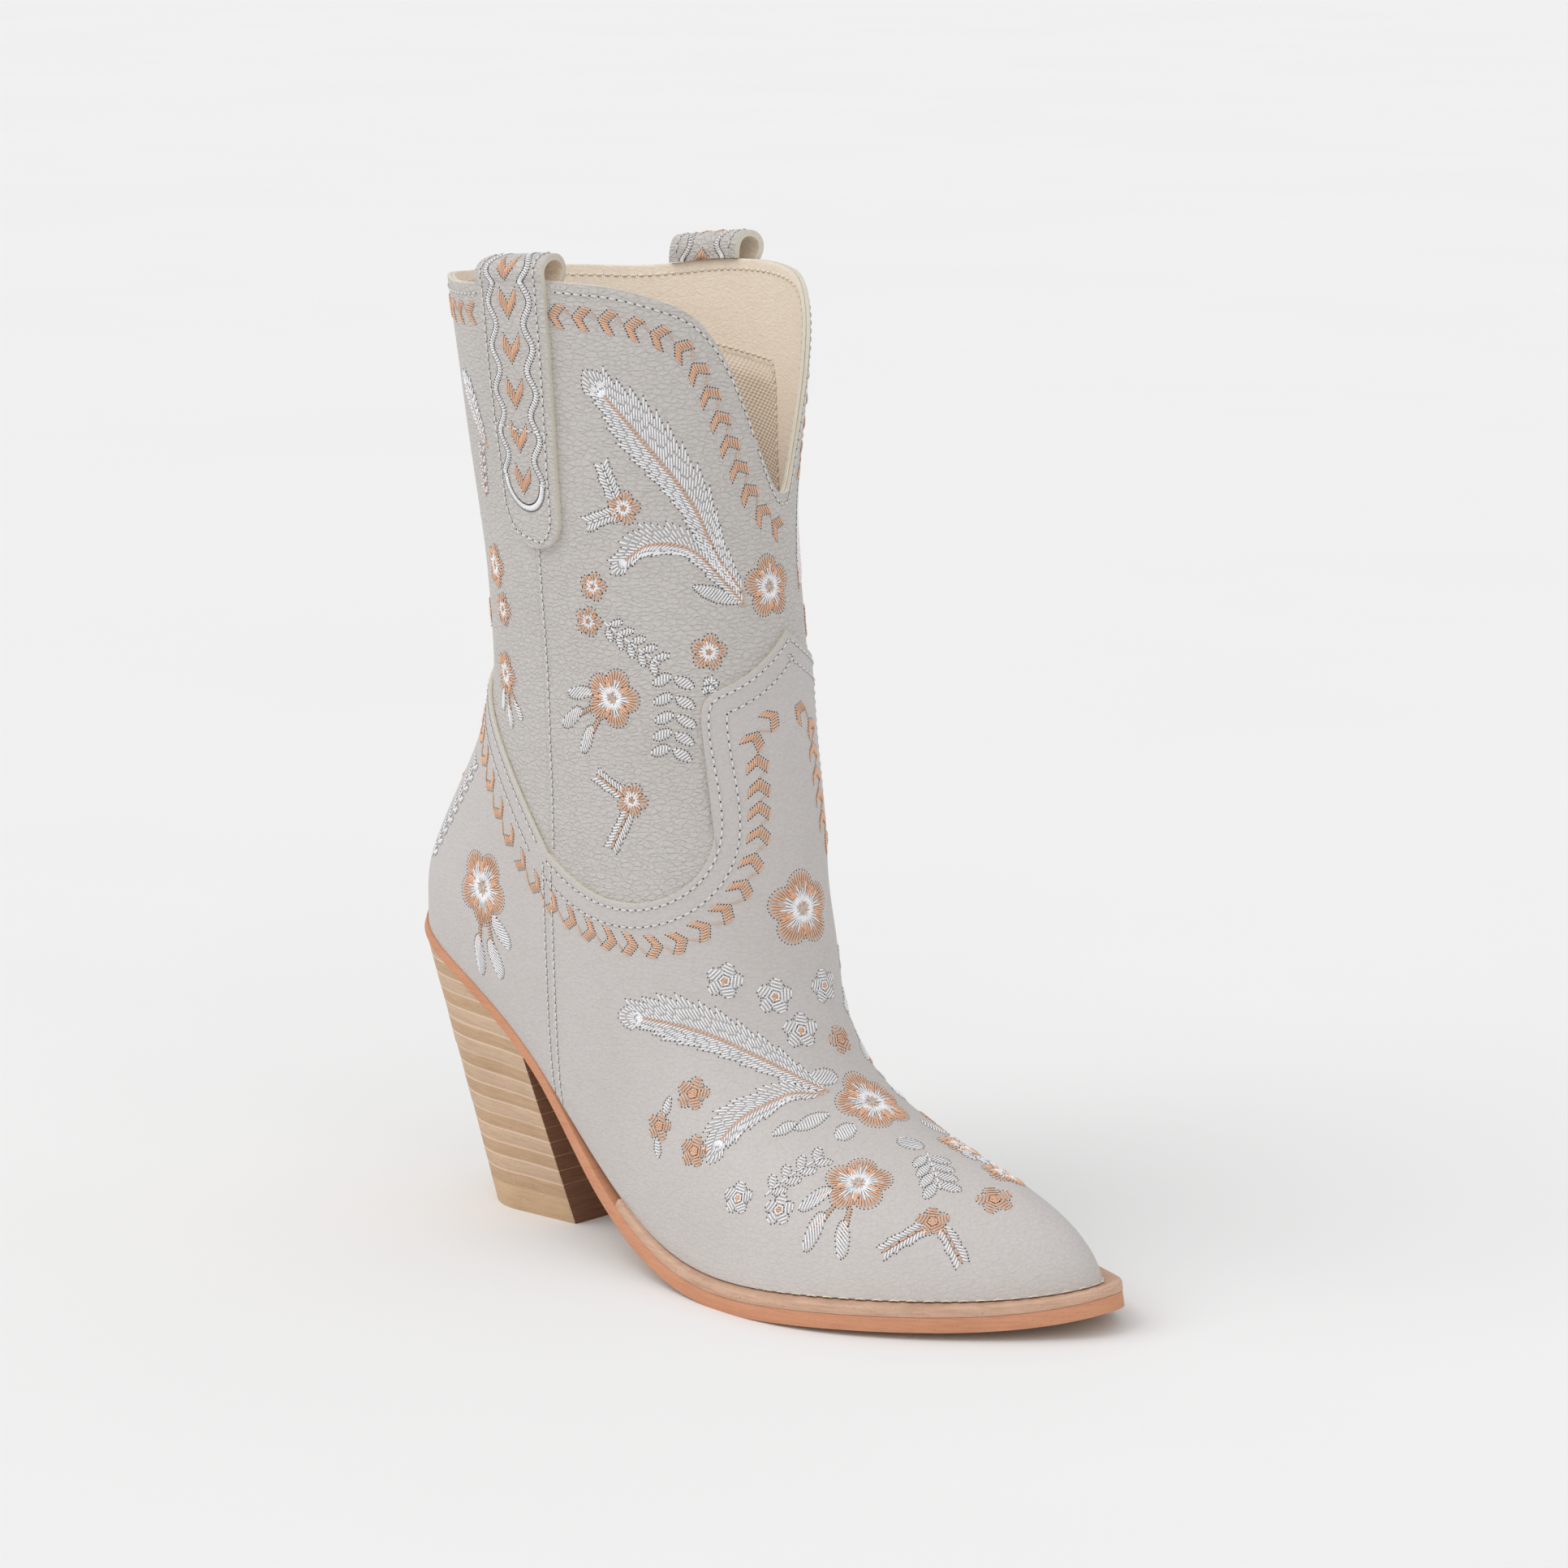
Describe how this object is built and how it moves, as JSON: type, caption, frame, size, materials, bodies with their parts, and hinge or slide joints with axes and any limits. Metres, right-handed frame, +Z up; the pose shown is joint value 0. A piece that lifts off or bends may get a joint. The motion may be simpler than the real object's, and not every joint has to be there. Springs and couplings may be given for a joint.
{
  "type": "cowboy boot",
  "caption": "Pointed-toe western boot with dipped topline, pull straps, floral embroidered leather upper, stitched welt and tall stacked block heel.",
  "frame": {"origin": "on the top lift's ground face, under the heel, with the ground at z = 0", "axes": "+X towards the toe, +Y towards the inner side of this right boot, +Z up along the shaft"},
  "size_m": [0.2703, 0.1088, 0.305],
  "materials": {
    "upper_leather": "satin",
    "lining_leather": "satin",
    "lining_textile": "matte",
    "stiffener": "matte",
    "board": "matte",
    "cork": "matte",
    "steel": "satin",
    "welt_leather": "matte",
    "sole_leather": "satin",
    "stacked_leather": "matte",
    "top_lift_rubber": "matte",
    "thread_copper": "satin",
    "thread_silver": "satin",
    "thread_grey": "satin"
  },
  "bodies": {
    "root": {"vamp": "upper_leather", "heel_counter": "upper_leather", "shaft_front": "upper_leather", "shaft_back": "upper_leather", "pull_strap_outer": "upper_leather", "pull_strap_inner": "upper_leather", "strap_backing_outer": "lining_leather", "strap_backing_inner": "lining_leather", "leather_facing": "lining_leather", "textile_lining": "lining_textile", "foot_lining": "lining_leather", "toe_puff": "stiffener", "heel_stiffener": "stiffener", "vamp_interlining": "lining_textile", "sock_liner": "lining_leather", "insole_board": "board", "steel_shank": "steel", "cork_filler": "cork", "welt": "welt_leather", "outsole": "sole_leather", "top_lift": "top_lift_rubber", "heel_nails": "steel", "heel_screw": "steel", "heel_lift_01": "stacked_leather", "heel_lift_02": "stacked_leather", "heel_lift_03": "stacked_leather", "heel_lift_04": "stacked_leather", "heel_lift_05": "stacked_leather", "heel_lift_06": "stacked_leather", "heel_lift_07": "stacked_leather", "heel_lift_08": "stacked_leather", "heel_lift_09": "stacked_leather", "heel_lift_10": "stacked_leather", "heel_lift_11": "stacked_leather", "heel_lift_12": "stacked_leather", "heel_lift_13": "stacked_leather", "heel_lift_14": "stacked_leather", "heel_lift_15": "stacked_leather", "heel_lift_16": "stacked_leather", "heel_lift_17": "stacked_leather"}
  },
  "joints": []
}
